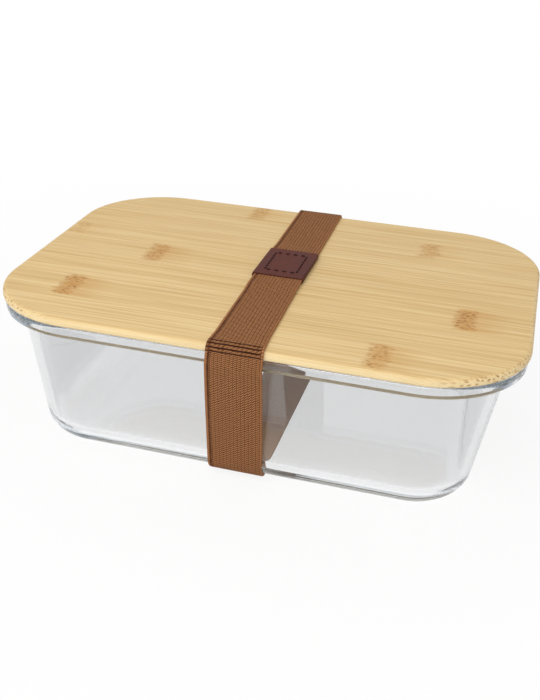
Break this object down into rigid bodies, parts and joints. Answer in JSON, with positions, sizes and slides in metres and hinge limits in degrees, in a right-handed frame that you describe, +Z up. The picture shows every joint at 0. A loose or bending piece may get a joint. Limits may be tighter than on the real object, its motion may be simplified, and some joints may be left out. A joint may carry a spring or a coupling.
{
  "type": "lunch box",
  "caption": "Rectangular glass lunch box with sloped walls and a stepped, sealed bamboo lid, held shut by a wide elastic strap with a sewn leather patch.",
  "frame": {"origin": "on the floor under the middle of the box, at the underside of the strap's lower run", "axes": "+X along the length, +Y from front to back, +Z up"},
  "size_m": [0.21, 0.153, 0.0706],
  "materials": {
    "glass": "clear pressed glass",
    "bamboo": "oiled bamboo, edge-glued strips",
    "silicone": "translucent silicone",
    "elastic": "woven elastic webbing",
    "leather": "dyed leather with a fine grain",
    "thread": "waxed sewing thread"
  },
  "bodies": {
    "container": {"glass_container": "glass"},
    "lid": {"bamboo_strip_1": "bamboo", "bamboo_strip_2": "bamboo", "bamboo_strip_3": "bamboo", "bamboo_strip_4": "bamboo", "bamboo_strip_5": "bamboo", "bamboo_strip_6": "bamboo", "bamboo_strip_7": "bamboo", "silicone_seal": "silicone"},
    "strap": {"elastic_strap": "elastic"},
    "strap_crown": {"leather_patch": "leather", "patch_stitching": "thread"}
  },
  "joints": [
    {"name": "lid_lift", "type": "slide", "parent": "container", "child": "lid", "axis": [0, 0, 1], "range_m": [0, 0.06]},
    {"name": "strap_slide", "type": "slide", "parent": "container", "child": "strap", "axis": [1, 0, 0], "range_m": [-0.12, 0.05]},
    {"name": "strap_stretch", "type": "slide", "parent": "strap", "child": "strap_crown", "axis": [0, 0, 1], "range_m": [0, 0.06], "deforming": ["elastic_strap"]}
  ],
  "couplings": [
    {"joint": "strap_stretch", "follows": "lid_lift", "ratio": 1}
  ]
}
